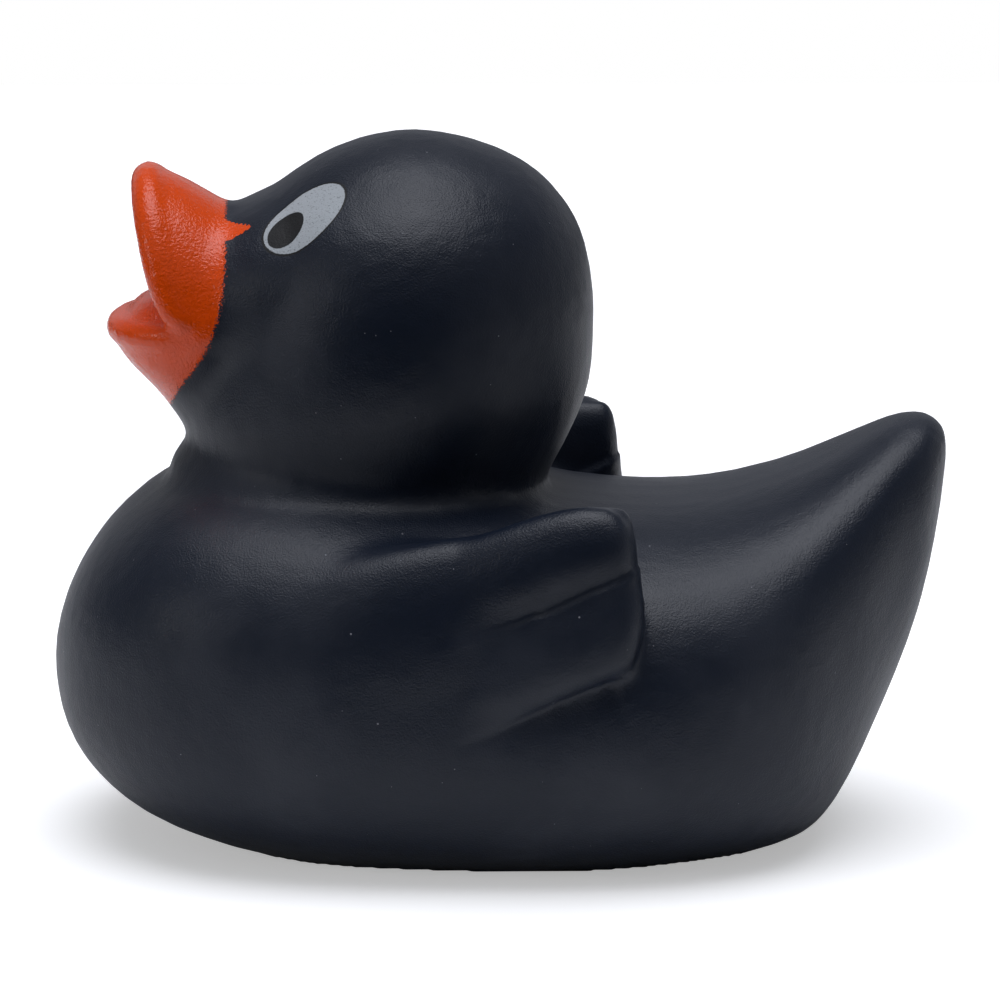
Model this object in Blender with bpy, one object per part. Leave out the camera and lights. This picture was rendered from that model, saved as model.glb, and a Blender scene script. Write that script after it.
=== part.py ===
"""A bath duck, moulded in one piece: a hollow vinyl skin with a head, an open bill, two wings and a tail.

The duck looks along -X and stands on the XY plane, +Z up. The mould parts on the plane Y = 0.
Sizes are in millimetres here and are turned to metres where a mesh is made.
"""

import math

import bmesh
import bpy
from mathutils import Vector

MM = 0.001

# The hollow skin
WALL = 2.4
VENT_DIAMETER = 3.0
VENT_X = 2.0
BASE_Z = 0.0

# Fineness of the skin and of the hollow
CORE_GRAIN = 0.6
CORE_SOFTENING = 18
SKIN_GRAIN = 0.35
SKIN_SOFTENING = 5
SKIN_TRIANGLES = 9000
HOLLOW_GRAIN = 1.0
HOLLOW_SOFTENING = 3
HOLLOW_TRIANGLES = 2000

# Fineness of the forms that run together in the skin
RIB_STEPS = 6
RIB_POINTS = 64
LOBE_POINTS = 40
ARCH_STEPS = 5
ARCH_POINTS = 36
ROUND_POINTS = 32

# A rib of the body or the head: the two ends of its chord in the plane Y = 0, each (x, z),
# and its half width
BODY_RIBS = [
    ((-44.6, 17.8), (-44.6, 17.8), 0.0),
    ((-42.7, 25.4), (-42.9, 10.2), 10.5),
    ((-37.7, 32.3), (-37.8, 4.4), 18.5),
    ((-30.2, 36.8), (-30.0, 0.6), 24.5),
    ((-18.0, 38.4), (-19.0, -1.9), 28.0),
    ((-4.0, 37.0), (-6.0, -2.8), 29.0),
    ((8.0, 34.2), (7.0, -2.8), 29.0),
    ((19.0, 33.8), (18.0, -1.9), 27.5),
    ((28.0, 35.9), (26.8, -0.8), 23.5),
    ((35.0, 39.2), (32.3, 1.8), 17.5),
    ((40.0, 41.6), (37.4, 11.0), 11.5),
    ((43.3, 41.6), (42.1, 23.5), 6.5),
    ((44.6, 38.0), (44.6, 38.0), 0.0),
]
BODY_FULLNESS = (2.6, 2.5)

HEAD_RIBS = [
    ((-9.2, 70.5), (-9.2, 70.5), 0.0),
    ((-15.7, 69.0), (-2.4, 69.4), 7.5),
    ((-20.6, 66.3), (3.5, 66.6), 12.2),
    ((-25.0, 62.4), (7.5, 61.8), 16.6),
    ((-27.5, 57.5), (9.1, 56.0), 18.8),
    ((-29.3, 52.5), (9.3, 50.5), 19.4),
    ((-30.6, 47.5), (8.8, 45.2), 19.0),
    ((-31.6, 43.3), (7.0, 40.5), 17.6),
    ((-31.2, 39.8), (4.7, 36.0), 16.4),
    ((-32.9, 37.4), (4.1, 33.3), 17.0),
    ((-31.0, 33.0), (5.0, 29.0), 15.0),
    ((-14.0, 24.0), (-14.0, 24.0), 0.0),
]
HEAD_FULLNESS = (2.0, 2.0)

# A wing lobe's ribs: x, distance of its middle from the plane Y = 0, z, half height, half thickness
WING_LEAN = 8.0
SHOULDER_RIBS = [
    (-38.0, 14.0, 18.0, 0.0, 0.0),
    (-28.0, 19.8, 20.8, 7.0, 4.3),
    (-16.0, 23.9, 23.8, 8.7, 4.1),
    (-6.0, 25.2, 26.0, 9.0, 3.7),
    (3.0, 25.3, 27.6, 7.4, 2.8),
    (10.0, 24.8, 27.4, 0.0, 0.0),
]
WING_RIBS = [
    (-28.0, 18.0, 19.0, 0.0, 0.0),
    (-18.0, 22.2, 22.2, 6.8, 3.6),
    (-10.0, 24.4, 25.0, 7.8, 3.5),
    (-3.0, 25.5, 26.8, 8.2, 3.0),
    (5.0, 26.2, 28.7, 8.7, 2.8),
    (9.8, 26.4, 29.8, 8.4, 2.8),
    (12.2, 26.4, 29.6, 7.3, 2.4),
    (13.2, 26.2, 29.4, 0.0, 0.0),
]
FEATHERS = (
    [
        (-22.0, 19.4, 23.6, 0.0, 0.0),
        (-10.0, 23.7, 27.6, 4.8, 2.7),
        (-2.0, 25.9, 30.7, 4.9, 2.8),
        (5.0, 26.9, 33.4, 4.6, 2.8),
        (9.3, 27.1, 34.5, 3.9, 2.6),
        (11.7, 27.0, 34.0, 2.9, 2.2),
        (12.9, 26.8, 33.2, 0.0, 0.0),
    ],
    [
        (-22.0, 19.8, 13.0, 0.0, 0.0),
        (-10.0, 24.3, 17.7, 5.4, 2.7),
        (-2.0, 26.5, 21.5, 5.2, 2.9),
        (5.0, 27.4, 24.6, 5.3, 3.0),
        (9.8, 27.5, 27.0, 5.6, 2.8),
        (12.4, 27.3, 28.0, 4.6, 2.2),
        (13.5, 27.1, 28.6, 0.0, 0.0),
    ],
    [
        (-16.0, 21.0, 7.0, 0.0, 0.0),
        (-9.0, 25.0, 10.8, 4.2, 2.7),
        (-1.0, 25.9, 14.2, 4.2, 2.7),
        (5.0, 26.0, 16.8, 4.2, 2.7),
        (9.4, 25.7, 18.8, 4.1, 2.5),
        (11.4, 25.5, 19.6, 2.8, 1.8),
        (12.4, 25.2, 20.0, 0.0, 0.0),
    ],
)
FEATHER_LEAN = (12.0, 7.0, 0.0)
LOBE_FULLNESS = 2.3

# The wings' front ends are soft: wholly so in front of the first x, and not at all behind the second
SOFT_FRONT_X = (-9.0, 3.0)
SOFT_FRONT_ROOT = 18.0
SOFT_FRONT_TOP = 38.0
FRONT_SOFTENING = 60

# A bill sheet's arches: its feet (x, half width, z) and its crown in the plane Y = 0 (x, z)
UPPER_BILL_THICKNESS = 3.2
UPPER_RIM_RADIUS = 1.75
UPPER_BILL_ARCHES = [
    ((-22.0, 9.0, 51.0), (-22.0, 60.3)),
    ((-26.5, 10.0, 52.6), (-27.0, 61.6)),
    ((-28.8, 10.3, 52.8), (-31.4, 64.1)),
    ((-30.5, 10.3, 53.3), (-34.7, 65.7)),
]
UPPER_BILL_BOW = 0.5
LOWER_BILL_THICKNESS = 2.4
LOWER_RIM_RADIUS = 1.4
LOWER_BILL_ARCHES = [
    ((-22.0, 6.0, 41.4), (-30.2, 41.4)),
    ((-24.0, 7.7, 45.2), (-32.9, 45.3)),
    ((-26.0, 9.3, 49.0), (-36.0, 48.6)),
    ((-27.0, 10.3, 52.0), (-37.7, 51.2)),
]
LOWER_BILL_BOW = 1.0
BILL_FULLNESS = 2.15
TONGUE_RIBS = [
    ((-21.0, 50.0), (-21.0, 50.0), 0.0),
    ((-24.5, 55.4), (-24.5, 44.0), 9.4),
    ((-28.6, 55.7), (-28.6, 44.0), 10.1),
    ((-32.2, 55.1), (-32.2, 45.6), 9.2),
    ((-35.0, 54.3), (-35.0, 47.0), 7.4),
    ((-36.6, 53.1), (-36.6, 49.0), 4.6),
    ((-37.2, 51.5), (-37.2, 51.5), 0.0),
]
TONGUE_FULLNESS = (2.7, 2.4)
MUZZLE_RIBS = [
    ((-10.0, 54.0), (-10.0, 54.0), 0.0),
    ((-14.0, 65.2), (-14.0, 45.0), 14.4),
    ((-19.0, 65.4), (-19.0, 44.4), 15.2),
    ((-23.0, 64.6), (-23.5, 44.2), 14.2),
    ((-26.0, 63.2), (-27.0, 44.4), 12.7),
    ((-28.4, 62.4), (-29.4, 45.4), 11.6),
    ((-30.2, 60.0), (-30.6, 48.0), 10.2),
    ((-31.0, 54.5), (-31.0, 54.5), 0.0),
]
MUZZLE_FULLNESS = (2.3, 2.0)
# Balls, as middles and half axes: the mouth is cut in the muzzle, and a cheek closes each of its corners
MOUTH_BALL = ((-33.5, 0.0, 57.6), (7.0, 8.8, 6.2))
CHEEK_BALL = ((-28.9, 9.7, 52.9), (3.0, 2.5, 4.2))

# Where the orange of the bill ends on the face: (x, z) from the brow to the throat
PAINT_EDGE = [
    (-27.1, 70.0),
    (-27.0, 62.9),
    (-26.9, 59.1),
    (-27.2, 56.0),
    (-27.8, 53.4),
    (-28.6, 51.2),
    (-29.9, 48.8),
    (-31.7, 46.1),
    (-33.0, 43.0),
]
BLACK_VINYL = (0.012, 0.013, 0.017, 1.0)
VINYL_ROUGHNESS = 0.5
ORANGE_PAINT = (0.62, 0.08, 0.012, 1.0)
PAINT_ROUGHNESS = 0.3
SHARP_ANGLE = 50.0


def clear_scene():
    for obj in list(bpy.data.objects):
        bpy.data.objects.remove(obj)


def spline(rows, t):
    """The rows' values at t, on a Catmull-Rom curve that starts at rows[1] and passes through each row."""
    i = min(int(t), len(rows) - 4)
    u = t - i
    return [
        0.5 * (2 * b + (c - a) * u + (2 * a - 5 * b + 4 * c - d) * u**2 + (3 * b - a - 3 * c + d) * u**3)
        for a, b, c, d in zip(*rows[i : i + 4])
    ]


def eased(rows, steps):
    """The rows with points between them, as an open curve."""
    first = [2 * a - b for a, b in zip(rows[0], rows[1])]
    last = [2 * a - b for a, b in zip(rows[-1], rows[-2])]
    extended = [first, *rows, last]
    return [spline(extended, k / steps) for k in range((len(rows) - 1) * steps + 1)]


def power(value, fullness):
    return math.copysign(abs(value) ** (2 / fullness), value)


def circle(points):
    return [(math.cos(2 * math.pi * k / points), math.sin(2 * math.pi * k / points)) for k in range(points)]


def new_object(name, bm):
    """A mesh object of the bmesh, whose points are in millimetres."""
    bmesh.ops.scale(bm, vec=(MM, MM, MM), verts=bm.verts)
    bmesh.ops.recalc_face_normals(bm, faces=bm.faces)
    mesh = bpy.data.meshes.new(name)
    bm.to_mesh(mesh)
    bm.free()
    obj = bpy.data.objects.new(name, mesh)
    bpy.context.scene.collection.objects.link(obj)
    return obj


def closed_form(name, rings, poles):
    """A closed skin over the rings, drawn to a point at each pole."""
    bm = bmesh.new()
    loops = [[bm.verts.new(p) for p in points] for points in rings]
    for first, second in zip(loops, loops[1:]):
        for k in range(len(first)):
            bm.faces.new((first[k - 1], first[k], second[k], second[k - 1]))
    for pole, loop in zip(poles, (loops[0], loops[-1])):
        tip = bm.verts.new(pole)
        for k in range(len(loop)):
            bm.faces.new((tip, loop[k - 1], loop[k]))
    return new_object(name, bm)


def rib_ring(rib, fullness):
    """A rib's section: full in measure at the first and at the second end of its chord."""
    ax, az, bx, bz, half_width = rib
    middle = Vector(((ax + bx) / 2, 0, (az + bz) / 2))
    half_chord = Vector(((ax - bx) / 2, 0, (az - bz) / 2))
    section = []
    for along, across in circle(RIB_POINTS):
        n = fullness[0] if along >= 0 else fullness[1]
        sideways = Vector((0, half_width * power(across, n), 0))
        section.append(middle + half_chord * power(along, n) + sideways)
    return section


def ribbed_form(name, ribs, fullness):
    """A closed form over the ribs. Its first and last rib are points, over which it is round."""
    rows = [[*a, *b, w] for a, b, w in ribs]
    ends = [[bx, bz, ax, az, -w] for ax, az, bx, bz, w in (rows[1], rows[-2])]
    extended = [ends[0], *rows, ends[1]]
    between = [spline(extended, k / RIB_STEPS) for k in range(1, (len(rows) - 1) * RIB_STEPS)]
    poles = [Vector((ribs[end][0][0], 0, ribs[end][0][1])) for end in (0, -1)]
    return closed_form(name, [rib_ring(rib, fullness) for rib in between], poles)


def wing_lobe(name, ribs, lean, side):
    """A lobe of a wing: upright sections along X that lean in at the top, with round ends."""
    tilt = math.radians(lean)
    ends = []
    for tip, near in ((ribs[0], ribs[1]), (ribs[-1], ribs[-2])):
        ends.append([near[0], 2 * tip[1] - near[1], 2 * tip[2] - near[2], -near[3], -near[4]])
    extended = [ends[0], *ribs, ends[1]]
    rings = []
    for k in range(1, (len(ribs) - 1) * RIB_STEPS):
        x, y, z, half_height, half_thickness = spline(extended, k / RIB_STEPS)
        section = []
        for up, out in circle(LOBE_POINTS):
            high = half_height * power(up, LOBE_FULLNESS)
            wide = half_thickness * power(out, LOBE_FULLNESS)
            across = y - high * math.sin(tilt) + wide * math.cos(tilt)
            level = z + high * math.cos(tilt) + wide * math.sin(tilt)
            section.append(Vector((x, side * across, level)))
        rings.append(section)
    poles = [Vector((ribs[end][0], side * ribs[end][1], ribs[end][2])) for end in (0, -1)]
    return closed_form(name, rings, poles)


def arch(foot, crown, bow):
    """An arch from the foot at +Y over the crown to the foot at -Y.

    A small bow brings it forward near its feet.
    """
    (fx, half_width, fz), (cx, cz) = foot, crown
    found = []
    for k in range(ARCH_POINTS + 1):
        angle = math.pi * k / ARCH_POINTS
        rise = power(math.sin(angle), BILL_FULLNESS)
        y = half_width * power(math.cos(angle), BILL_FULLNESS)
        found.append(Vector((fx + (cx - fx) * rise**bow, y, fz + (cz - fz) * rise)))
    return found


def bill_sheet(name, arches, bow, thickness):
    """A bent sheet of even thickness over the arches."""
    rows = [[*foot, *crown] for foot, crown in arches]
    bm = bmesh.new()
    paths = [arch(row[:3], row[3:], bow) for row in eased(rows, ARCH_STEPS)]
    lines = [[bm.verts.new(p) for p in path] for path in paths]
    for first, second in zip(lines, lines[1:]):
        for k in range(ARCH_POINTS):
            bm.faces.new((first[k], first[k + 1], second[k + 1], second[k]))
    sheet = new_object(name, bm)
    solid = sheet.modifiers.new("thickness", "SOLIDIFY")
    solid.thickness = thickness * MM
    solid.offset = 0.0
    solid.use_even_offset = True
    apply_modifiers(sheet)
    return sheet


def bill_rim(name, arches, bow, radius):
    """A round bar along the last arch."""
    foot, crown = arches[-1]
    path = arch(foot, crown, bow)
    across_the_arch = Vector((foot[2] - crown[1], 0, crown[0] - foot[0]))
    rings = []
    for k, middle in enumerate(path):
        along = path[min(k + 1, ARCH_POINTS)] - path[max(k - 1, 0)]
        side = along.cross(across_the_arch).normalized()
        up = along.cross(side).normalized()
        rings.append([middle + side * radius * c + up * radius * s for c, s in circle(ROUND_POINTS)])
    return closed_form(name, rings, (path[0], path[-1]))


def apply_modifiers(obj):
    """Puts the outcome of the object's modifiers in its mesh."""
    depsgraph = bpy.context.evaluated_depsgraph_get()
    mesh = bpy.data.meshes.new_from_object(obj.evaluated_get(depsgraph))
    obj.modifiers.clear()
    obj.data = mesh


def joined(name, pieces):
    """The pieces' meshes in one object."""
    bm = bmesh.new()
    for piece in pieces:
        bm.from_mesh(piece.data)
        bpy.data.objects.remove(piece)
    mesh = bpy.data.meshes.new(name)
    bm.to_mesh(mesh)
    bm.free()
    obj = bpy.data.objects.new(name, mesh)
    bpy.context.scene.collection.objects.link(obj)
    return obj


def run_together(obj, grain, softening):
    """Makes one soft closed skin of the object's overlapping forms."""
    remesh = obj.modifiers.new("one_skin", "REMESH")
    remesh.mode = "VOXEL"
    remesh.voxel_size = grain * MM
    smooth = obj.modifiers.new("soften", "SMOOTH")
    smooth.factor = 0.5
    smooth.iterations = softening
    apply_modifiers(obj)


def soften_wing_fronts(obj):
    """Lets the feathers' front ends run softly into the flanks."""
    group = obj.vertex_groups.new(name="wing_fronts")
    soft_x, crisp_x = SOFT_FRONT_X
    for vert in obj.data.vertices:
        x, y, z = vert.co / MM
        share = min(1.0, (crisp_x - x) / (crisp_x - soft_x))
        if share > 0 and abs(y) > SOFT_FRONT_ROOT and z < SOFT_FRONT_TOP:
            group.add([vert.index], share, "REPLACE")
    smooth = obj.modifiers.new("soften_fronts", "SMOOTH")
    smooth.factor = 0.5
    smooth.iterations = FRONT_SOFTENING
    smooth.vertex_group = group.name
    apply_modifiers(obj)
    obj.vertex_groups.clear()


def coarsen(obj, triangles):
    """Leaves about so many triangles in the object."""
    fine = sum(len(polygon.vertices) - 2 for polygon in obj.data.polygons)
    decimate = obj.modifiers.new("coarsen", "DECIMATE")
    decimate.ratio = triangles / fine
    apply_modifiers(obj)


def cut_below(obj, z):
    """Takes away what is below the height z and leaves the object open there."""
    bm = bmesh.new()
    bm.from_mesh(obj.data)
    everything = bm.verts[:] + bm.edges[:] + bm.faces[:]
    plane = Vector((0, 0, z * MM))
    bmesh.ops.bisect_plane(bm, geom=everything, plane_co=plane, plane_no=(0, 0, -1), clear_outer=True)
    bm.to_mesh(obj.data)
    bm.free()


def close_below(obj, z):
    """Closes the open underside with a flat face at the height z."""
    bm = bmesh.new()
    bm.from_mesh(obj.data)
    rim = [edge for edge in bm.edges if edge.is_boundary]
    for vert in bm.verts:
        vert.co.z = z * MM if vert.is_boundary else max(vert.co.z, z * MM)
    bmesh.ops.triangle_fill(bm, edges=rim, use_beauty=True)
    bmesh.ops.recalc_face_normals(bm, faces=bm.faces)
    bm.to_mesh(obj.data)
    bm.free()


def body():
    return ribbed_form("body", BODY_RIBS, BODY_FULLNESS)


def head():
    return ribbed_form("head", HEAD_RIBS, HEAD_FULLNESS)


def ball(name, middle, half_axes, side=1):
    bm = bmesh.new()
    bmesh.ops.create_uvsphere(bm, u_segments=ROUND_POINTS, v_segments=ROUND_POINTS // 2, radius=1.0)
    bmesh.ops.scale(bm, vec=half_axes, verts=bm.verts)
    bmesh.ops.translate(bm, vec=(middle[0], side * middle[1], middle[2]), verts=bm.verts)
    return new_object(name, bm)


def muzzle_and_bill():
    """The bill's two sheets, and the muzzle and cheeks, through which they grow out of the face."""
    muzzle = ribbed_form("muzzle", MUZZLE_RIBS, MUZZLE_FULLNESS)
    upper = bill_sheet("upper_bill", UPPER_BILL_ARCHES, UPPER_BILL_BOW, UPPER_BILL_THICKNESS)
    lower = bill_sheet("lower_bill", LOWER_BILL_ARCHES, LOWER_BILL_BOW, LOWER_BILL_THICKNESS)
    cheeks = [ball(f"cheek_{side}", *CHEEK_BALL, side) for side in (-1, 1)]
    return [muzzle, upper, lower] + cheeks


def bill_lips_and_tongue():
    upper = bill_rim("upper_lip", UPPER_BILL_ARCHES, UPPER_BILL_BOW, UPPER_RIM_RADIUS)
    lower = bill_rim("lower_lip", LOWER_BILL_ARCHES, LOWER_BILL_BOW, LOWER_RIM_RADIUS)
    return [upper, lower, ribbed_form("tongue", TONGUE_RIBS, TONGUE_FULLNESS)]


def shoulders():
    return [wing_lobe(f"shoulder_{side}", SHOULDER_RIBS, WING_LEAN, side) for side in (-1, 1)]


def wings():
    lobes = []
    for side in (-1, 1):
        lobes.append(wing_lobe(f"wing_{side}", WING_RIBS, WING_LEAN, side))
        for k, (ribs, lean) in enumerate(zip(FEATHERS, FEATHER_LEAN)):
            lobes.append(wing_lobe(f"feather_{side}_{k}", ribs, lean, side))
    return lobes


def soft_core():
    """The forms that run softly into each other, with the mouth cut in them."""
    core = joined("core", [body(), head()] + muzzle_and_bill() + shoulders())
    run_together(core, CORE_GRAIN, CORE_SOFTENING)
    cut_out(core, ball("mouth", *MOUTH_BALL))
    return core


def outer_skin():
    skin = joined("duck", [soft_core()] + bill_lips_and_tongue() + wings())
    run_together(skin, SKIN_GRAIN, SKIN_SOFTENING)
    soften_wing_fronts(skin)
    cut_below(skin, BASE_Z)
    coarsen(skin, SKIN_TRIANGLES)
    close_below(skin, BASE_Z)
    return skin


def hollow():
    """The space inside: body and head drawn in by the wall. Bill and wings are too thin to be hollow."""
    space = joined("hollow", [body(), head()])
    remesh = space.modifiers.new("one_skin", "REMESH")
    remesh.mode = "VOXEL"
    remesh.voxel_size = HOLLOW_GRAIN * MM
    draw_in = space.modifiers.new("draw_in", "DISPLACE")
    draw_in.mid_level = 0.0
    draw_in.strength = -WALL * MM
    apply_modifiers(space)
    run_together(space, HOLLOW_GRAIN, HOLLOW_SOFTENING)
    cut_below(space, BASE_Z + WALL)
    coarsen(space, HOLLOW_TRIANGLES)
    close_below(space, BASE_Z + WALL)
    return space


def vent():
    """The hole in the base, through which the air goes."""
    bm = bmesh.new()
    radius = VENT_DIAMETER / 2
    depth = 4 * WALL
    bmesh.ops.create_cone(
        bm, cap_ends=True, segments=ROUND_POINTS, radius1=radius, radius2=radius, depth=depth
    )
    bmesh.ops.translate(bm, vec=(VENT_X, 0, BASE_Z), verts=bm.verts)
    return new_object("vent", bm)


def cut_out(obj, cutter):
    cut = obj.modifiers.new(cutter.name, "BOOLEAN")
    cut.operation = "DIFFERENCE"
    cut.solver = "EXACT"
    cut.object = cutter
    apply_modifiers(obj)
    bpy.data.objects.remove(cutter)


def triangulate(obj):
    bm = bmesh.new()
    bm.from_mesh(obj.data)
    bmesh.ops.triangulate(bm, faces=bm.faces)
    bm.to_mesh(obj.data)
    bm.free()


def shade(obj):
    """Shades the skin smooth, with sharp edges round the flat base and the vent."""
    obj.data.shade_smooth()
    obj.data.set_sharp_from_angle(angle=math.radians(SHARP_ANGLE))


def material(name, colour, roughness):
    made = bpy.data.materials.new(name)
    made.use_nodes = True
    shader = made.node_tree.nodes["Principled BSDF"]
    shader.inputs["Base Color"].default_value = colour
    shader.inputs["Roughness"].default_value = roughness
    return made


def paint_edge_x(z):
    """Where the orange ends at the height z."""
    for (x1, z1), (x2, z2) in zip(PAINT_EDGE, PAINT_EDGE[1:]):
        if z2 <= z <= z1:
            return x2 + (x1 - x2) * (z - z2) / (z1 - z2)
    return -math.inf


def colour(obj):
    """Black vinyl, with orange paint on the bill."""
    obj.data.materials.append(material("black_vinyl", BLACK_VINYL, VINYL_ROUGHNESS))
    obj.data.materials.append(material("orange_paint", ORANGE_PAINT, PAINT_ROUGHNESS))
    for face in obj.data.polygons:
        x, z = face.center.x / MM, face.center.z / MM
        face.material_index = 1 if x < paint_edge_x(z) else 0


def main():
    clear_scene()
    duck = outer_skin()
    cut_out(duck, hollow())
    cut_out(duck, vent())
    triangulate(duck)
    shade(duck)
    colour(duck)


main()
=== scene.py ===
import math

import bpy
import numpy as np
from bpy.props import FloatProperty, FloatVectorProperty, IntProperty, PointerProperty
from mathutils import Matrix, Vector


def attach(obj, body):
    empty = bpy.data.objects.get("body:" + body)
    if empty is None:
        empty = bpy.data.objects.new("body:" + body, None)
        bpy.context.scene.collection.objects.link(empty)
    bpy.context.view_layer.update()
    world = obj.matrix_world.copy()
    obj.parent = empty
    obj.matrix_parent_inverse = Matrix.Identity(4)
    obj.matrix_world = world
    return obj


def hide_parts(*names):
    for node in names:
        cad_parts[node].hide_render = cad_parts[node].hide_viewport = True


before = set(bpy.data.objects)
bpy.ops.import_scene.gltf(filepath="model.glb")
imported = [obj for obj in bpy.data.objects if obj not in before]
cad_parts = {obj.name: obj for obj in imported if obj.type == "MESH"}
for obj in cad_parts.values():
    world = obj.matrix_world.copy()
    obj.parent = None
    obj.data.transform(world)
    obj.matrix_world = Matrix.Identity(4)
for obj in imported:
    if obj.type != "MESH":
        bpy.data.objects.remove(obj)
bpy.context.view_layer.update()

bl_info = {
    "name": "Vinyl bath duck",
    "version": (1, 0, 0),
    "blender": (4, 5, 0),
    "location": "View3D > Sidebar > Duck",
    "description": "Dresses the duck's solid with its moulded skin, paint and prints, and sets a plain stage",
    "category": "Object",
}

MM = 0.001

# The vent in the base, as the solid has it: its place along X and its diameter, with the wall, in metres
VENT_X = 0.002
VENT_DIAMETER = 0.003
WALL = 0.0024
VENT_SIDES = 48
# Faces within this many radii of the vent's axis, and no flatter than this, are its own wall
VENT_SLACK = 1.01
VENT_FLATTEST = 0.5

# The skin is smoothed by the first share of a step and then by the second, which gives its fullness back
SMOOTH_SHARE = 0.5
SMOOTH_BACK = -0.52
# Points lower than this are set on the floor, in millimetres
BASE_REACH = 0.12
# Edges sharper than this are shaded crisp
CRISP_ANGLE = math.radians(60)

# Lines pressed in the near wing, as (x, z) in millimetres from front to rear; the far wing mirrors them
UPPER_GROOVE = [(-7.4, 24.7), (-5.6, 25.4), (-0.7, 26.8), (3.9, 28.5), (8.2, 30.5), (12.5, 32.3)]
LOWER_GROOVE = [(-5.0, 15.0), (-0.7, 16.9), (3.9, 18.9), (7.6, 20.4), (11.1, 21.6)]
# How far from the middle plane the wings begin, and over how much the lines deepen there, in millimetres
WING_STARTS = 21
WING_BLEND = 2
# Before the lines are pressed the wings are smoothed near them: how far to each side in millimetres,
# where that ends against the reach, how many times, and each line with how much wider it is smoothed
SMOOTHED_REACH = 1.4
SMOOTHED_END = 1.5
SMOOTHED_PASSES = 50
SMOOTHED_LINES = ((UPPER_GROOVE, 2.2), (LOWER_GROOVE, 1.0))
# How a line is shaped above it and below it: its share of the groove's depth, where less than none
# stands out, and the millimetres over which that dies away
UPPER_SHAPE = ((0.4, 2.2), (-0.22, 1.4))
LOWER_SHAPE = ((1.0, 0.45), (1.0, 2.0))
# Shares of a line's length: its fade at the front, its fade at the rear, and where each line is gone
FRONT_FADE = 0.5
REAR_FADE = 0.08
UPPER_GONE = 1.04
LOWER_GONE = 1.02
PRESSED_LINES = ((UPPER_GROOVE, UPPER_SHAPE, UPPER_GONE), (LOWER_GROOVE, LOWER_SHAPE, LOWER_GONE))
PRESSED_SMOOTH_SHARE = 0.4

# Where the spray mask ended on the face, as (x, z) in millimetres from the throat to the brow
PAINT_EDGE = [
    (-33.0, 43.0),
    (-31.7, 46.1),
    (-29.9, 48.8),
    (-28.6, 51.2),
    (-27.8, 53.4),
    (-27.2, 56.0),
    (-26.9, 59.1),
    (-27.0, 62.9),
    (-27.1, 70.0),
]
# No paint lies lower than this above the floor, in millimetres
PAINT_FOOT = 42.8
# The box that is painted throughout for the mouth's inside, in millimetres: its middle and its reach each
# way. It also takes in a point of the skin outside, above the bill's rear corner
MOUTH_MIDDLE = (-28.0, 0.0, 58.0)
MOUTH_REACH = (5.0, 8.5, 4.5)
WELL_INSIDE = 1.0

# The eye prints on the near side: the way that their plane faces, its level direction, and where
# they sit and lean; the far side mirrors them
EYE_FACES = Vector((-0.413, -0.537, 0.736)).normalized()
EYE_LEVEL = Vector((0.792, -0.610, 0.0)).normalized()
EYE_MIDDLE = (-19.12, -10.57, 63.67)
EYE_LEAN = -math.atan2(0.431, 0.902)
PUPIL_MIDDLE = (-20.93, -10.83, 62.47)
PUPIL_LEAN = -math.atan2(0.146, 0.989)

# The node kinds that come up again and again, and where a mix of colours gives its outcome
MATH = "ShaderNodeMath"
VECTOR = "ShaderNodeVectorMath"
RANGE = "ShaderNodeMapRange"
NOISE = "ShaderNodeTexNoise"
MIX = "ShaderNodeMix"
MIXED_COLOUR = 2

# Sizes and heights of the vinyl's surface in millimetres
SCUFF_SIZE = 14
GRAIN_SIZE = 0.19
GRAIN_HEIGHT = 0.05
RIPPLE_SIZE = 1.1
RIPPLE_HEIGHT = 0.035
RIPPLE_LEAST = 0.008
PATCH_SIZE = 11
# Between which values of their noise the patches, the roughness and the scuffs change
PATCH_MARKS = (0.42, 0.62)
ROUGHNESS_MARKS = (0.3, 0.7)
SCUFF_MARKS = (0.45, 0.75)
VINYL_ROUGHNESS = (0.37, 0.44)
VINYL_IOR = 1.53
VINYL_SHINE = 0.32

# Dust: how far apart in millimetres, the share of places left bare, and each speck's reach in its cell
SPECKS = (2.4, 0.78, 0.05)
MOTES = (1.2, 0.88, 0.06)
# The share of a speck's reach that is solid, how much dust hides, its height, and how much lies in scuffs
SPECK_CORE = 0.6
DUST_COVER = 0.75
DUST_HEIGHT = 0.03
SCUFF_DUST = 0.05

# Sprayed paint: the fuzz of its edge, its reach and its blur, the pebbles and the coat, all in millimetres,
# and how rough it is
FUZZ_SIZE = 0.26
FUZZ_REACH = 1.7
FUZZ_BLUR = 0.05
PEBBLE_SIZE = 0.3
PEBBLE_HEIGHT = 0.09
COAT_HEIGHT = 0.03
PAINT_ROUGHNESS = 0.2

# Printed ink: the size of its ragged edge in millimetres, and how ragged the oval and the pupil are
RAGGED_SIZE = 0.2
OVAL_RAGGED = 0.03
PUPIL_RAGGED = 0.05
# From nothing to full ink, where 1 is the edge of the oval or the pupil
RIM_EDGE = (1.06, 1.04)
PALE_EDGE = (1.005, 0.985)
PUPIL_EDGE = (1.02, 0.98)
# Between which values of the noise the pale ink thins, and by how much
PINHOLE_MARKS = (0.6, 0.68)
PINHOLE_SHARE = 0.4
INK_ROUGHNESS = 0.5
# How much of the skin's grain the ink keeps, and its height in millimetres
INK_GRAIN = 0.6
INK_HEIGHT = 0.015

# The board: its tooth in millimetres, and how much whiter the camera sees it than the duck does
TOOTH_SIZE = 1.5
TOOTH_HEIGHT = 0.02
TOOTH_STRENGTH = 0.2
BOARD_ROUGHNESS = 0.9
FLOOR_LIFT = 0.4

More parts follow.
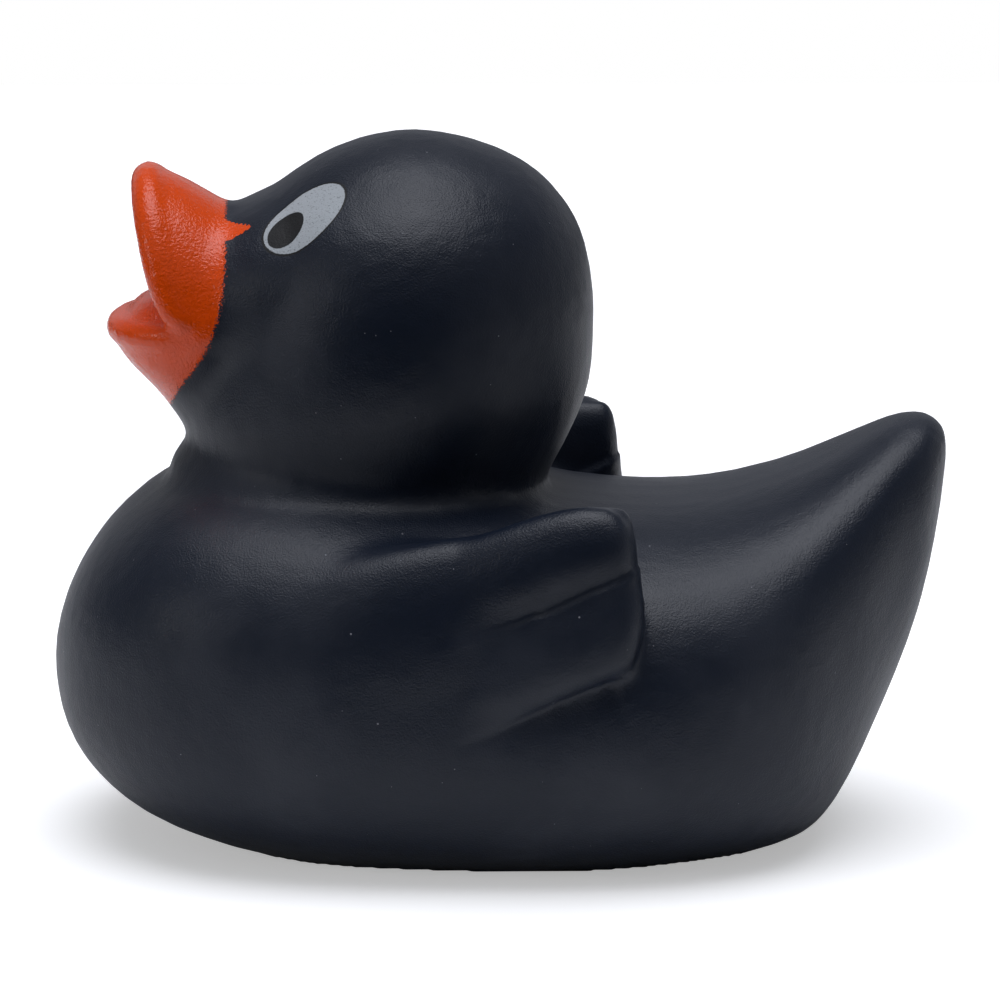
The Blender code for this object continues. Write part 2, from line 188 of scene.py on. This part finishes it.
# The tent's glow: overhead, and to the right, back, left and front near the floor and higher up
TENT_COLOUR = (0.96, 0.98, 1.05, 1.0)
TENT_TOP = 4.0
TENT_SIDES = (
    ((1, 0, 0), 0.35, 0.1),
    ((0, 1, 0), 0.45, 0.1),
    ((-1, 0, 0), 0.1, 0.2),
    ((0, -1, 0), 0.0, 0.28),
)
# Heights of a direction, from -1 to 1, between which the tent changes: floor, low band and overhead
TENT_FOOT = (-0.02, 0.0)
TENT_LOW = (0.2, 0.65)
TENT_OVERHEAD = (0.82, 0.98)
SIDE_NARROWING = 2.0

# The soft box and the camera, in metres and watts, with the camera's sensor in millimetres
SOFT_BOX_PLACE = (-0.54, -0.25, 0.22)
SOFT_BOX_AIM = (0, 0, 0.04)
SOFT_BOX_WATTS = 0.35
CAMERA_AIM = (0, 0, 0.0332)
CAMERA_NEAREST = 0.01
SENSOR_WIDTH = 36.0


def linear(hex_colour):
    """The linear colour of an sRGB hex value such as #808080."""
    parts = [int(hex_colour[k : k + 2], 16) / 255 for k in (1, 3, 5)]
    return [p / 12.92 if p <= 0.04045 else ((p + 0.055) / 1.055) ** 2.4 for p in parts]


def colour_property(name, description, hex_colour):
    return FloatVectorProperty(
        name=name, description=description, subtype="COLOR", size=3, min=0, max=1, default=linear(hex_colour)
    )


class DuckSizes(bpy.types.PropertyGroup):
    """Sizes of the skin's surface, the prints and the stage."""

    fineness: FloatProperty(
        name="Skin fineness", description="Edge of the skin's faces", default=0.42 * MM, unit="LENGTH"
    )
    softening: IntProperty(name="Softening", description="Times that the skin is smoothed", default=14, min=0)
    groove_depth: FloatProperty(
        name="Groove depth",
        description="Depth of the lines between the feathers",
        default=0.75 * MM,
        unit="LENGTH",
    )
    eye_length: FloatProperty(
        name="Eye length", description="Length of the eye print", default=9.5 * MM, unit="LENGTH"
    )
    eye_width: FloatProperty(
        name="Eye width", description="Width of the eye print", default=6.77 * MM, unit="LENGTH"
    )
    pupil_length: FloatProperty(
        name="Pupil length", description="Length of the pupil print", default=4.6 * MM, unit="LENGTH"
    )
    pupil_width: FloatProperty(
        name="Pupil width", description="Width of the pupil print", default=3.42 * MM, unit="LENGTH"
    )
    floor_size: FloatProperty(name="Floor size", description="Side of the board", default=0.6, unit="LENGTH")
    floor_shift: FloatProperty(
        name="Floor shift", description="How far back the board's middle lies", default=0.2, unit="LENGTH"
    )
    camera_distance: FloatProperty(
        name="Camera distance", description="From the camera to the duck", default=0.6, unit="LENGTH"
    )
    camera_field: FloatProperty(
        name="Camera field", description="Width of the picture at the duck", default=0.1, unit="LENGTH"
    )
    camera_rise: FloatProperty(
        name="Camera rise",
        description="Angle of the camera above the floor",
        default=math.radians(12.5),
        subtype="ANGLE",
    )
    camera_turn: FloatProperty(
        name="Camera turn",
        description="Angle of the camera round the duck",
        default=math.radians(-1.0),
        subtype="ANGLE",
    )
    lamp_size: FloatProperty(
        name="Lamp size", description="Side of the soft box", default=0.16, unit="LENGTH"
    )


class DuckColours(bpy.types.PropertyGroup):
    """Colours of the duck and of the stage."""

    vinyl: colour_property("Vinyl", "The moulded skin", "#0E1726")
    paint: colour_property("Paint", "The sprayed bill", "#E84D07")
    eye: colour_property("Eye", "The eye print's pale ink", "#A9AFB4")
    pupil: colour_property("Pupil", "The pupil print's black ink", "#08090C")
    dust: colour_property("Dust", "Specks of dust on the skin", "#8E9098")
    floor: colour_property("Floor", "The floor", "#F8F8F8")


def select_only(*objects):
    bpy.ops.object.select_all(action="DESELECT")
    for obj in objects:
        obj.select_set(True)
    bpy.context.view_layer.objects.active = objects[0]


def apply_modifier(obj, kind, **settings):
    """Gives the object a modifier and applies it."""
    select_only(obj)
    modifier = obj.modifiers.new(kind.lower(), kind)
    for name, value in settings.items():
        setattr(modifier, name, value)
    bpy.ops.object.modifier_apply(modifier=modifier.name)


def copy_of_solid(name):
    """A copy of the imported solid, its doubled points merged."""
    obj = bpy.data.objects.new(name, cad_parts["duck"].data.copy())
    bpy.context.scene.collection.objects.link(obj)
    select_only(obj)
    bpy.ops.object.mode_set(mode="EDIT")
    bpy.ops.mesh.select_all(action="SELECT")
    bpy.ops.mesh.remove_doubles(threshold=0.001 * MM)
    bpy.ops.object.mode_set(mode="OBJECT")
    return obj


def part_at_vent(obj):
    """Takes out the vent's wall and closes its ends, which parts the outside from the hollow."""
    select_only(obj)
    bpy.ops.object.mode_set(mode="EDIT")
    bpy.ops.mesh.select_mode(type="FACE")
    bpy.ops.mesh.select_all(action="DESELECT")
    bpy.ops.object.mode_set(mode="OBJECT")
    for face in obj.data.polygons:
        reach = math.hypot(face.center.x - VENT_X, face.center.y)
        face.select = reach < VENT_DIAMETER / 2 * VENT_SLACK and abs(face.normal.z) < VENT_FLATTEST
    bpy.ops.object.mode_set(mode="EDIT")
    bpy.ops.mesh.delete(type="FACE")
    bpy.ops.mesh.select_all(action="SELECT")
    bpy.ops.mesh.fill_holes(sides=0)
    bpy.ops.mesh.select_all(action="SELECT")
    bpy.ops.mesh.separate(type="LOOSE")
    bpy.ops.object.mode_set(mode="OBJECT")
    outside, hollow = sorted(bpy.context.selected_objects, key=lambda piece: -piece.dimensions.x)
    return outside, hollow


def points_of(obj):
    """The mesh's points in millimetres and its normals."""
    count = len(obj.data.vertices)
    points, normals = np.zeros(count * 3), np.zeros(count * 3)
    obj.data.vertices.foreach_get("co", points)
    obj.data.vertices.foreach_get("normal", normals)
    return points.reshape(-1, 3) / MM, normals.reshape(-1, 3)


def from_line(points, line):
    """How far each point lies above a line that runs to +X, and its place along it from 0 to 1."""
    line = np.array(line)
    steps = np.linalg.norm(np.diff(line, axis=0), axis=1)
    nearest = np.full(len(points), np.inf)
    above, along = np.zeros(len(points)), np.zeros(len(points))
    passed = 0.0
    for start, end, step in zip(line, line[1:], steps):
        way = (end - start) / step
        reach = np.clip((points - start) @ way, 0, step)
        off = points - start - reach[:, None] * way
        distance = np.linalg.norm(off, axis=1)
        closer = distance < nearest
        side = np.where(way[0] * off[:, 1] - way[1] * off[:, 0] >= 0, 1, -1)
        nearest = np.where(closer, distance, nearest)
        above = np.where(closer, side * distance, above)
        along = np.where(closer, (passed + reach) / steps.sum(), along)
        passed += step
    return above, along


def set_points(obj, points):
    """Puts the mesh's points in new places, given in millimetres."""
    obj.data.vertices.foreach_set("co", (points * MM).ravel())
    obj.data.update()


def soften_near_grooves(obj):
    """Smooths the wings near their lines, so that clean lines can be pressed there."""
    points, _ = points_of(obj)
    share = np.zeros(len(points))
    for line, wider in SMOOTHED_LINES:
        above, _ = from_line(points[:, [0, 2]], line)
        share = np.maximum(share, np.clip(SMOOTHED_END - np.abs(above) / (SMOOTHED_REACH * wider), 0, 1))
    share *= np.abs(points[:, 1]) > WING_STARTS
    group = obj.vertex_groups.new(name="wing_lines")
    for index in np.flatnonzero(share):
        group.add([int(index)], share[index], "REPLACE")
    apply_modifier(obj, "SMOOTH", factor=SMOOTH_SHARE, iterations=SMOOTHED_PASSES, vertex_group=group.name)
    obj.vertex_groups.clear()


def shape_of_line(above, shape):
    """How deep a line is pressed at each height above it, as a share of the groove's depth."""
    (share_over, width_over), (share_under, width_under) = shape
    over = share_over * np.exp(-np.abs(above) / width_over)
    under = share_under * np.exp(-np.abs(above) / width_under)
    return np.where(above > 0, over, under)


def press_grooves(obj, depth):
    """Presses the lines between the feathers: each feather rolls down to the next one's edge."""
    points, normals = points_of(obj)
    side_view = points[:, [0, 2]]
    on_wing = np.clip((np.abs(points[:, 1]) - WING_STARTS) / WING_BLEND, 0, 1)
    pressed = np.zeros(len(points))
    for line, shape, gone in PRESSED_LINES:
        above, along = from_line(side_view, line)
        fade = np.clip(along / FRONT_FADE, 0, 1) * np.clip((gone - along) / REAR_FADE, 0, 1)
        pressed += fade * shape_of_line(above, shape)
    set_points(obj, points - normals * (pressed * on_wing * depth / MM)[:, None])
    apply_modifier(obj, "SMOOTH", factor=PRESSED_SMOOTH_SHARE, iterations=1)


def mark_paint(obj):
    """Stores how far each point lies inside the paint's edge; all in the mouth's box counts as painted."""
    points, _ = points_of(obj)
    above, _ = from_line(points[:, [2, 0]], [(z, x) for x, z in PAINT_EDGE])
    attribute = obj.data.attributes.new("paint", "FLOAT", "POINT")
    inside = np.minimum(-above, points[:, 2] - PAINT_FOOT)
    in_mouth = np.all(np.abs(points - MOUTH_MIDDLE) < MOUTH_REACH, axis=1)
    attribute.data.foreach_set("value", np.where(in_mouth, WELL_INSIDE, inside))


def mould_skin(sizes):
    """The duck's skin: a fine copy of the solid with its hollow, its vent and the lines in its wings."""
    outside, hollow = part_at_vent(copy_of_solid("duck_skin"))
    outside.name = "duck_skin"
    apply_modifier(outside, "REMESH", mode="VOXEL", voxel_size=sizes.fineness)
    for share in (SMOOTH_SHARE, SMOOTH_BACK):
        apply_modifier(outside, "SMOOTH", factor=share, iterations=sizes.softening)
    soften_near_grooves(outside)
    press_grooves(outside, sizes.groove_depth)
    level_base(outside)
    select_only(hollow)
    bpy.ops.object.mode_set(mode="EDIT")
    bpy.ops.mesh.select_all(action="SELECT")
    bpy.ops.mesh.flip_normals()
    bpy.ops.object.mode_set(mode="OBJECT")
    apply_modifier(outside, "BOOLEAN", object=hollow, operation="DIFFERENCE", solver="EXACT")
    bpy.ops.object.select_all(action="DESELECT")
    bpy.ops.mesh.primitive_cylinder_add(
        vertices=VENT_SIDES, radius=VENT_DIAMETER / 2, depth=4 * WALL, location=(VENT_X, 0, 0)
    )
    drill = bpy.context.active_object
    apply_modifier(outside, "BOOLEAN", object=drill, operation="DIFFERENCE", solver="EXACT")
    for tool in (hollow, drill):
        bpy.data.objects.remove(tool)
    return outside


def level_base(obj):
    """Keeps the base flat on the floor."""
    points, _ = points_of(obj)
    low = points[:, 2] < BASE_REACH
    points[low, 2] = 0.0
    set_points(obj, points)


def add(tree, kind, **wanted):
    """Adds a node. Each name is a setting or an input, or i0, i1 for an input by its place; a node that is
    given as a value is linked by its first output."""
    made = tree.nodes.new(kind)
    for name, value in wanted.items():
        if hasattr(made, name):
            setattr(made, name, value)
            continue
        by_place = name[0] == "i" and name[1:].isdigit()
        socket = made.inputs[int(name[1:]) if by_place else name.replace("_", " ")]
        if isinstance(value, bpy.types.Node):
            value = value.outputs[0]
        if isinstance(value, bpy.types.NodeSocket):
            tree.links.new(value, socket)
        else:
            socket.default_value = value
    return made


def softly(low, high, to_low=0.0, to_high=1.0):
    """The settings that turn one range to another with soft ends."""
    ends = {"From_Min": low, "From_Max": high, "To_Min": to_low, "To_Max": to_high}
    return {"interpolation_type": "SMOOTHSTEP", **ends}


def places_in_mm(tree):
    coordinates = add(tree, "ShaderNodeTexCoord").outputs["Object"]
    return add(tree, VECTOR, operation="SCALE", i0=coordinates, Scale=1 / MM)


def fallen_dust(tree, places, apart, share_bare, reach):
    """Specks of dust about so far apart, in millimetres; a share of the places stays bare."""
    cells = add(tree, "ShaderNodeTexVoronoi", Vector=places, Scale=1 / apart, Randomness=1.0)
    chance = add(tree, "ShaderNodeSeparateColor", Color=cells.outputs["Color"])
    chosen = add(tree, MATH, operation="GREATER_THAN", i0=chance, i1=share_bare)
    speck = add(tree, RANGE, Value=cells.outputs["Distance"], **softly(reach, SPECK_CORE * reach))
    return add(tree, MATH, operation="MULTIPLY", i0=speck, i1=chosen)


def matt_vinyl(tree, places, colours):
    """Slush-moulded matt PVC: the mould's grain and patchy ripple break up the light; dust lies on it."""
    broad = add(tree, NOISE, Vector=places, Scale=1 / SCUFF_SIZE, Detail=3.0)
    grain = add(tree, NOISE, Vector=places, Scale=1 / GRAIN_SIZE, Detail=1.0, Roughness=0.7)
    ripple = add(tree, NOISE, Vector=places, Scale=1 / RIPPLE_SIZE, Detail=1.0, Distortion=0.6)
    patchy = add(tree, NOISE, Vector=places, Scale=1 / PATCH_SIZE, Detail=2.0)
    patches = add(tree, RANGE, Value=patchy, **softly(*PATCH_MARKS))
    ripple_height = add(tree, MATH, operation="MULTIPLY_ADD", i0=patches, i1=RIPPLE_HEIGHT, i2=RIPPLE_LEAST)
    rippled = add(tree, MATH, operation="MULTIPLY", i0=ripple, i1=ripple_height)
    height = add(tree, MATH, operation="MULTIPLY_ADD", i0=grain, i1=GRAIN_HEIGHT, i2=rippled)
    roughness = add(tree, RANGE, Value=broad, **softly(*ROUGHNESS_MARKS, *VINYL_ROUGHNESS))
    scuffs = add(tree, RANGE, Value=broad, **softly(*SCUFF_MARKS))
    worn = add(tree, MATH, operation="MULTIPLY", i0=scuffs, i1=SCUFF_DUST)
    bare, dust_colour = [*colours.vinyl, 1], [*colours.dust, 1]
    dusty = add(tree, MIX, data_type="RGBA", i0=worn, i6=bare, i7=dust_colour).outputs[MIXED_COLOUR]
    specks = fallen_dust(tree, places, *SPECKS)
    motes = fallen_dust(tree, places, *MOTES)
    dust = add(tree, MATH, operation="MAXIMUM", i0=specks, i1=motes)
    cover = add(tree, MATH, operation="MULTIPLY", i0=dust, i1=DUST_COVER)
    colour = add(tree, MIX, data_type="RGBA", i0=cover, i6=dusty, i7=dust_colour).outputs[MIXED_COLOUR]
    height = add(tree, MATH, operation="MULTIPLY_ADD", i0=dust, i1=DUST_HEIGHT, i2=height)
    return colour, roughness, height


def sprayed_paint(tree, places, colours, under):
    """Sprayed vinyl paint: glossier than the skin, pebbled as spray dries, fuzzy where the mask sat."""
    colour, roughness, height = under
    stored = add(tree, "ShaderNodeAttribute", attribute_type="GEOMETRY", attribute_name="paint")
    fuzz = add(tree, NOISE, Vector=places, Scale=1 / FUZZ_SIZE, Detail=3.0, Roughness=0.8)
    uneven = add(tree, MATH, operation="MULTIPLY_ADD", i0=fuzz, i1=FUZZ_REACH, i2=-FUZZ_REACH / 2)
    edge = add(tree, MATH, operation="ADD", i0=stored.outputs["Fac"], i1=uneven)
    painted = add(tree, RANGE, Value=edge, **softly(-FUZZ_BLUR, FUZZ_BLUR))
    pebbles = add(tree, NOISE, Vector=places, Scale=1 / PEBBLE_SIZE, Detail=1.0, Roughness=0.6)
    coat = add(tree, MATH, operation="MULTIPLY_ADD", i0=pebbles, i1=PEBBLE_HEIGHT, i2=COAT_HEIGHT)
    paint = [*colours.paint, 1]
    colour = add(tree, MIX, data_type="RGBA", i0=painted, i6=colour, i7=paint).outputs[MIXED_COLOUR]
    roughness = add(tree, MIX, data_type="FLOAT", i0=painted, i2=roughness, i3=PAINT_ROUGHNESS)
    height = add(tree, MIX, data_type="FLOAT", i0=painted, i2=height, i3=coat)
    return colour, roughness, height


def inside_ellipse(tree, mirrored, middle, length, width, turn):
    """How far from the middle of an ellipse on the eye's plane, 1 at its edge."""
    lengthwise = Matrix.Rotation(turn, 3, EYE_FACES) @ EYE_FACES.cross(EYE_LEVEL)
    axes = Matrix((lengthwise, EYE_FACES.cross(lengthwise), EYE_FACES)).transposed()
    mapped = add(
        tree,
        "ShaderNodeMapping",
        vector_type="TEXTURE",
        Vector=mirrored,
        Location=middle,
        Rotation=axes.to_euler(),
        Scale=(length / 2 / MM, width / 2 / MM, 1.0),
    ).outputs[0]
    flat = add(tree, VECTOR, operation="MULTIPLY", i0=mapped, i1=(1, 1, 0))
    return add(tree, VECTOR, operation="LENGTH", i0=flat).outputs["Value"]


def ragged_edge(tree, from_middle, noise, amount):
    """The distance from an ellipse's middle, made uneven by the noise."""
    nearer = add(tree, MATH, operation="SUBTRACT", i0=from_middle, i1=amount / 2)
    return add(tree, MATH, operation="MULTIPLY_ADD", i0=noise, i1=amount, i2=nearer)


def printed_eye(tree, places, colours, sizes, under):
    """Pad-printed ink: a pale oval with a black rim and pupil, duller than the skin and with less grain."""
    colour, roughness, height = under
    parts = add(tree, "ShaderNodeSeparateXYZ", Vector=places).outputs
    off_middle = add(tree, MATH, operation="ABSOLUTE", i0=parts[1])
    near = add(tree, MATH, operation="MULTIPLY", i0=off_middle, i1=-1.0)
    mirrored = add(tree, "ShaderNodeCombineXYZ", X=parts[0], Y=near, Z=parts[2])
    oval = inside_ellipse(tree, mirrored, EYE_MIDDLE, sizes.eye_length, sizes.eye_width, EYE_LEAN)
    pupil = inside_ellipse(tree, mirrored, PUPIL_MIDDLE, sizes.pupil_length, sizes.pupil_width, PUPIL_LEAN)
    ragged = add(tree, NOISE, Vector=places, Scale=1 / RAGGED_SIZE, Detail=1.0)
    oval = ragged_edge(tree, oval, ragged, OVAL_RAGGED)
    pupil = ragged_edge(tree, pupil, ragged, PUPIL_RAGGED)
    rim = add(tree, RANGE, Value=oval, **softly(*RIM_EDGE))
    pinholes = add(tree, RANGE, Value=ragged, **softly(*PINHOLE_MARKS))
    thinned = add(tree, MATH, operation="MULTIPLY", i0=pinholes, i1=PINHOLE_SHARE)
    covered = add(tree, MATH, operation="SUBTRACT", i0=1.0, i1=thinned)
    within = add(tree, RANGE, Value=oval, **softly(*PALE_EDGE))
    pale = add(tree, MATH, operation="MULTIPLY", i0=within, i1=covered)
    dark = add(tree, RANGE, Value=pupil, **softly(*PUPIL_EDGE))
    for share, ink in ((rim, colours.pupil), (pale, colours.eye), (dark, colours.pupil)):
        colour = add(tree, MIX, data_type="RGBA", i0=share, i6=colour, i7=[*ink, 1]).outputs[MIXED_COLOUR]
    roughness = add(tree, MIX, data_type="FLOAT", i0=rim, i2=roughness, i3=INK_ROUGHNESS)
    ink_height = add(tree, MATH, operation="MULTIPLY_ADD", i0=height, i1=INK_GRAIN, i2=INK_HEIGHT)
    height = add(tree, MIX, data_type="FLOAT", i0=rim, i2=height, i3=ink_height)
    return colour, roughness, height


def skin_material(colours, sizes):
    """Black PVC skin with its paint and prints: a wide, dim sheen on a nearly black ground."""
    made = bpy.data.materials.new("moulded_matt_black_vinyl")
    made.use_nodes = True
    tree = made.node_tree
    shader = tree.nodes["Principled BSDF"]
    places = places_in_mm(tree)
    layers = matt_vinyl(tree, places, colours)
    layers = sprayed_paint(tree, places, colours, layers)
    colour, roughness, height = printed_eye(tree, places, colours, sizes, layers)
    bump = add(tree, "ShaderNodeBump", Strength=1.0, Distance=MM, Height=height).outputs[0]
    tree.links.new(colour, shader.inputs["Base Color"])
    tree.links.new(roughness.outputs[0], shader.inputs["Roughness"])
    tree.links.new(bump, shader.inputs["Normal"])
    shader.inputs["IOR"].default_value = VINYL_IOR
    shader.inputs["Specular IOR Level"].default_value = VINYL_SHINE
    return made


def floor_material(colours):
    """Matt white board: a faint tooth and no gloss to speak of, so that only the shadow shows on it."""
    made = bpy.data.materials.new("matt_white_board")
    made.use_nodes = True
    tree = made.node_tree
    shader = tree.nodes["Principled BSDF"]
    tooth = add(tree, NOISE, Vector=places_in_mm(tree), Scale=1 / TOOTH_SIZE, Detail=2.0)
    bump = add(
        tree, "ShaderNodeBump", Strength=TOOTH_STRENGTH, Distance=TOOTH_HEIGHT * MM, Height=tooth
    ).outputs[0]
    tree.links.new(bump, shader.inputs["Normal"])
    shader.inputs["Base Color"].default_value = [*colours.floor, 1]
    shader.inputs["Roughness"].default_value = BOARD_ROUGHNESS
    seen = add(tree, "ShaderNodeLightPath").outputs["Is Camera Ray"]
    lift = add(tree, MATH, operation="MULTIPLY", i0=seen, i1=FLOOR_LIFT)
    tree.links.new(lift.outputs[0], shader.inputs["Emission Strength"])
    return made


def light_the_world():
    """A soft tent: bright overhead, each side by itself, dark below, and white behind all for the camera."""
    world = bpy.data.worlds.new("soft_tent")
    bpy.context.scene.world = world
    world.use_nodes = True
    tree = world.node_tree
    tree.nodes.clear()
    direction = add(tree, "ShaderNodeTexCoord").outputs["Generated"]
    rise = add(tree, "ShaderNodeSeparateXYZ", Vector=direction).outputs[2]
    level = add(tree, VECTOR, operation="MULTIPLY", i0=direction, i1=(1, 1, 0))
    level = add(tree, VECTOR, operation="NORMALIZE", i0=level)
    low = add(tree, RANGE, Value=rise, **softly(*TENT_LOW, 1.0, 0.0))
    top = add(tree, RANGE, Value=rise, **softly(*TENT_OVERHEAD))
    above_low = add(tree, MATH, operation="SUBTRACT", i0=1.0, i1=low)
    middle = add(tree, MATH, operation="SUBTRACT", i0=above_low, i1=top)
    strength = add(tree, MATH, operation="MULTIPLY", i0=top, i1=TENT_TOP)
    for way, low_glow, middle_glow in TENT_SIDES:
        faced = add(tree, VECTOR, operation="DOT_PRODUCT", i0=level, i1=way).outputs["Value"]
        towards = add(tree, MATH, operation="MAXIMUM", i0=faced, i1=0.0)
        share = add(tree, MATH, operation="POWER", i0=towards, i1=SIDE_NARROWING)
        higher = add(tree, MATH, operation="MULTIPLY", i0=middle, i1=middle_glow)
        glow = add(tree, MATH, operation="MULTIPLY_ADD", i0=low, i1=low_glow, i2=higher)
        strength = add(tree, MATH, operation="MULTIPLY_ADD", i0=share, i1=glow, i2=strength)
    over_floor = add(tree, RANGE, Value=rise, **softly(*TENT_FOOT))
    strength = add(tree, MATH, operation="MULTIPLY", i0=strength, i1=over_floor)
    tent = add(tree, "ShaderNodeBackground", Color=TENT_COLOUR, Strength=strength).outputs[0]
    white = add(tree, "ShaderNodeBackground", Color=(1, 1, 1, 1), Strength=1.0).outputs[0]
    seen = add(tree, "ShaderNodeLightPath").outputs["Is Camera Ray"]
    mixed = add(tree, "ShaderNodeMixShader", i0=seen, i1=tent, i2=white).outputs[0]
    add(tree, "ShaderNodeOutputWorld", Surface=mixed)


def add_lamp(name, place, target, size, watts):
    """A square soft box that faces the target."""
    turn = (Vector(target) - Vector(place)).to_track_quat("-Z", "Y").to_euler()
    bpy.ops.object.light_add(type="AREA", location=place, rotation=turn)
    lamp = bpy.context.active_object
    lamp.name = name
    lamp.data.shape = "SQUARE"
    lamp.data.size = size
    lamp.data.energy = watts


def place_camera(sizes):
    """The camera, as far round and as high as the photographer stood."""
    rise, turn = sizes.camera_rise, sizes.camera_turn
    target = Vector(CAMERA_AIM)
    back = Vector((math.sin(turn) * math.cos(rise), -math.cos(turn) * math.cos(rise), math.sin(rise)))
    bpy.ops.object.camera_add(
        location=target + back * sizes.camera_distance, rotation=(-back).to_track_quat("-Z", "Y").to_euler()
    )
    camera = bpy.context.active_object
    camera.name = "photo_camera"
    camera.data.sensor_width = SENSOR_WIDTH
    camera.data.lens = SENSOR_WIDTH * sizes.camera_distance / sizes.camera_field
    camera.data.clip_start = CAMERA_NEAREST
    bpy.context.scene.camera = camera


class DUCK_OT_mould_skin(bpy.types.Operator):
    """Makes the fine skin over the solid and gives it its vinyl, paint and eye prints"""

    bl_idname = "duck.mould_skin"
    bl_label = "Mould the skin"

    def execute(self, context):
        sizes, colours = context.scene.duck_sizes, context.scene.duck_colours
        skin = mould_skin(sizes)
        mark_paint(skin)
        skin.data.materials.clear()
        skin.data.materials.append(skin_material(colours, sizes))
        select_only(skin)
        bpy.ops.object.shade_smooth_by_angle(angle=CRISP_ANGLE)
        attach(skin, "root")
        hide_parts("duck")
        return {"FINISHED"}


class DUCK_OT_set_stage(bpy.types.Operator):
    """Lays the floor, lights the tent, hangs the soft box and places the camera"""

    bl_idname = "duck.set_stage"
    bl_label = "Set the stage"

    def execute(self, context):
        sizes, colours = context.scene.duck_sizes, context.scene.duck_colours
        bpy.ops.object.select_all(action="DESELECT")
        bpy.ops.mesh.primitive_plane_add(size=sizes.floor_size, location=(0, sizes.floor_shift, 0))
        floor = bpy.context.active_object
        floor.name = "floor"
        floor.data.materials.append(floor_material(colours))
        light_the_world()
        add_lamp("soft_box_left", SOFT_BOX_PLACE, SOFT_BOX_AIM, sizes.lamp_size, SOFT_BOX_WATTS)
        place_camera(sizes)
        context.scene.view_settings.view_transform = "Standard"
        return {"FINISHED"}


class DUCK_PT_panel(bpy.types.Panel):
    """The duck's pieces, sizes and colours"""

    bl_idname = "DUCK_PT_panel"
    bl_label = "Vinyl bath duck"
    bl_space_type = "VIEW_3D"
    bl_region_type = "UI"
    bl_category = "Duck"

    def draw(self, context):
        for operator in (DUCK_OT_mould_skin, DUCK_OT_set_stage):
            self.layout.operator(operator.bl_idname)
        for group in (context.scene.duck_sizes, context.scene.duck_colours):
            column = self.layout.column(align=True)
            for name in group.bl_rna.properties.keys():
                if name not in ("rna_type", "name"):
                    column.prop(group, name)


CLASSES = (DuckSizes, DuckColours, DUCK_OT_mould_skin, DUCK_OT_set_stage, DUCK_PT_panel)


def register():
    for cls in CLASSES:
        bpy.utils.register_class(cls)
    bpy.types.Scene.duck_sizes = PointerProperty(type=DuckSizes)
    bpy.types.Scene.duck_colours = PointerProperty(type=DuckColours)


def unregister():
    del bpy.types.Scene.duck_colours
    del bpy.types.Scene.duck_sizes
    for cls in reversed(CLASSES):
        bpy.utils.unregister_class(cls)


def main():
    register()
    bpy.ops.duck.mould_skin()
    bpy.ops.duck.set_stage()


if __name__ == "__main__":
    main()
